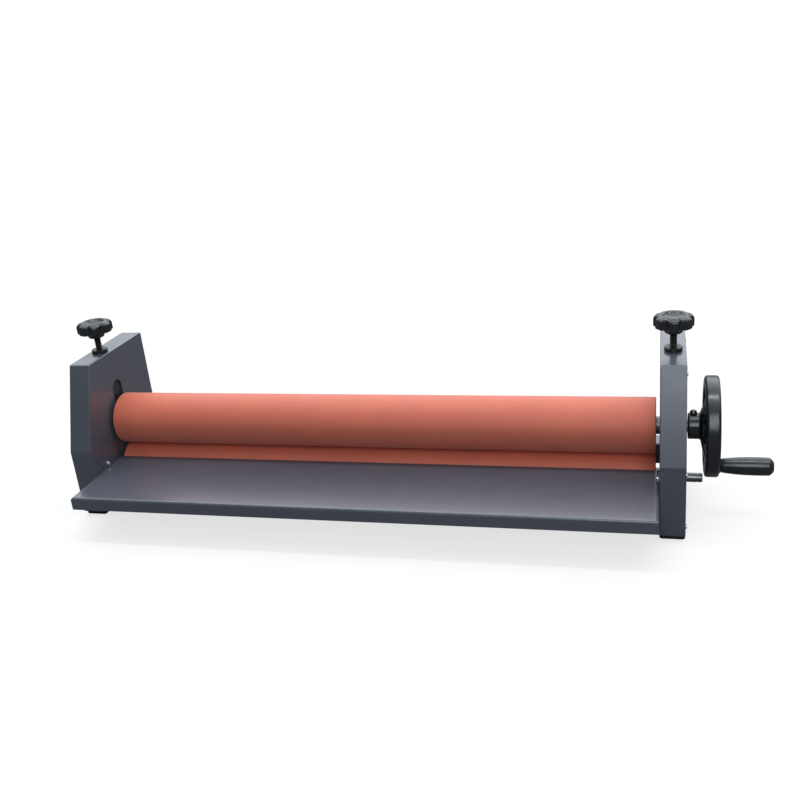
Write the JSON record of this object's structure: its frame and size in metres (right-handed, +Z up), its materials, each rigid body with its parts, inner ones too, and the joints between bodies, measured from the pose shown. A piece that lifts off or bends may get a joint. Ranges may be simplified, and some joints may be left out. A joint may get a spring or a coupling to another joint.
{
  "type": "cold roll laminator",
  "caption": "Tabletop cold roll laminator: rubber nip rollers between steel towers, a folded feed table, pressure screws with star knobs and a crank wheel.",
  "frame": {"origin": "centre of the footprint, on the surface that the machine stands on", "axes": "+X along the rollers towards the crank wheel, -Y towards the operator, +Z up"},
  "size_m": [1.2455, 0.33, 0.343],
  "materials": {
    "powder_coat": "fine textured semi-gloss grey powder coat",
    "silicone": "matte ground orange silicone rubber",
    "bakelite": "polished black phenolic",
    "turned_steel": "fine turned",
    "mild_steel": "machined",
    "zinc_steel": "bright zinc plate",
    "black_steel": "black oxide",
    "bearing_steel": "ground",
    "nylon": "moulded",
    "foot_rubber": "matte black"
  },
  "bodies": {
    "frame": {"left_side_frame": "powder_coat", "right_side_frame": "powder_coat", "left_outer_cover": "powder_coat", "right_outer_cover": "powder_coat", "left_guide_rails": "mild_steel", "right_guide_rails": "mild_steel", "left_keeper_plate": "mild_steel", "right_keeper_plate": "mild_steel", "left_lower_bearing_block": "mild_steel", "right_lower_bearing_block": "mild_steel", "cover_screws": "zinc_steel", "keeper_plate_screws": "zinc_steel", "lower_bearing_outer_rings": "bearing_steel", "lower_bearing_balls": "bearing_steel", "lower_bearing_cages": "nylon", "screw_bushes": "black_steel", "bush_lock_nuts": "zinc_steel", "feed_table": "powder_coat", "table_stiffener": "powder_coat", "table_screws": "zinc_steel", "table_nuts": "zinc_steel", "front_tie_rod": "powder_coat", "rear_crossbar": "powder_coat", "cross_member_bolts": "zinc_steel", "rubber_feet": "foot_rubber", "foot_screws": "zinc_steel", "lift_springs": "zinc_steel"},
    "lift_carriage": {"left_sliding_block": "mild_steel", "right_sliding_block": "mild_steel", "upper_bearing_outer_rings": "bearing_steel", "upper_bearing_balls": "bearing_steel", "upper_bearing_cages": "nylon", "screw_retainers": "mild_steel", "retainer_screws": "zinc_steel"},
    "upper_roller": {"upper_roller_sleeve": "silicone", "upper_roller_core": "mild_steel", "upper_end_plugs": "mild_steel", "upper_drive_journal": "turned_steel", "upper_idle_journal": "turned_steel", "upper_bearing_inner_rings": "bearing_steel", "upper_retaining_rings": "black_steel", "handwheel": "bakelite", "hub_set_screw": "black_steel", "crank_spindle": "zinc_steel"},
    "crank_handle": {"crank_grip": "bakelite"},
    "lower_roller": {"lower_roller_sleeve": "silicone", "lower_roller_core": "mild_steel", "lower_end_plugs": "mild_steel", "lower_drive_journal": "turned_steel", "lower_idle_journal": "turned_steel", "lower_bearing_inner_rings": "bearing_steel", "lower_retaining_rings": "black_steel"},
    "left_screw": {"left_pressure_screw": "black_steel", "left_star_knob": "bakelite"},
    "right_screw": {"right_pressure_screw": "black_steel", "right_star_knob": "bakelite"}
  },
  "joints": [
    {"name": "lift", "type": "slide", "parent": "frame", "child": "lift_carriage", "axis": [0, 0, 1], "range_m": [0, 0.021], "deforming": ["lift_springs"]},
    {"name": "upper_roller_spin", "type": "hinge", "parent": "lift_carriage", "child": "upper_roller", "pos_m": [-0.0641, 0.047, 0.1473], "axis": [1, 0, 0], "continuous": true},
    {"name": "grip_spin", "type": "hinge", "parent": "upper_roller", "child": "crank_handle", "pos_m": [0.5809, 0.01953, 0.08839], "axis": [1, 0, 0], "continuous": true},
    {"name": "lower_roller_spin", "type": "hinge", "parent": "frame", "child": "lower_roller", "pos_m": [-0.0641, 0.047, 0.051], "axis": [1, 0, 0], "continuous": true},
    {"name": "left_knob_turn", "type": "hinge", "parent": "lift_carriage", "child": "left_screw", "pos_m": [-0.5906, 0.047, 0.3], "axis": [0, 0, 1], "range_deg": [0, 4320.1]},
    {"name": "right_knob_turn", "type": "hinge", "parent": "lift_carriage", "child": "right_screw", "pos_m": [0.4624, 0.047, 0.3], "axis": [0, 0, 1], "range_deg": [0, 4320.1]}
  ],
  "couplings": [
    {"joint": "left_knob_turn", "follows": "lift", "rad_per_m": 3590.4},
    {"joint": "right_knob_turn", "follows": "lift", "rad_per_m": 3590.4},
    {"joint": "lower_roller_spin", "follows": "upper_roller_spin", "ratio": -1}
  ]
}
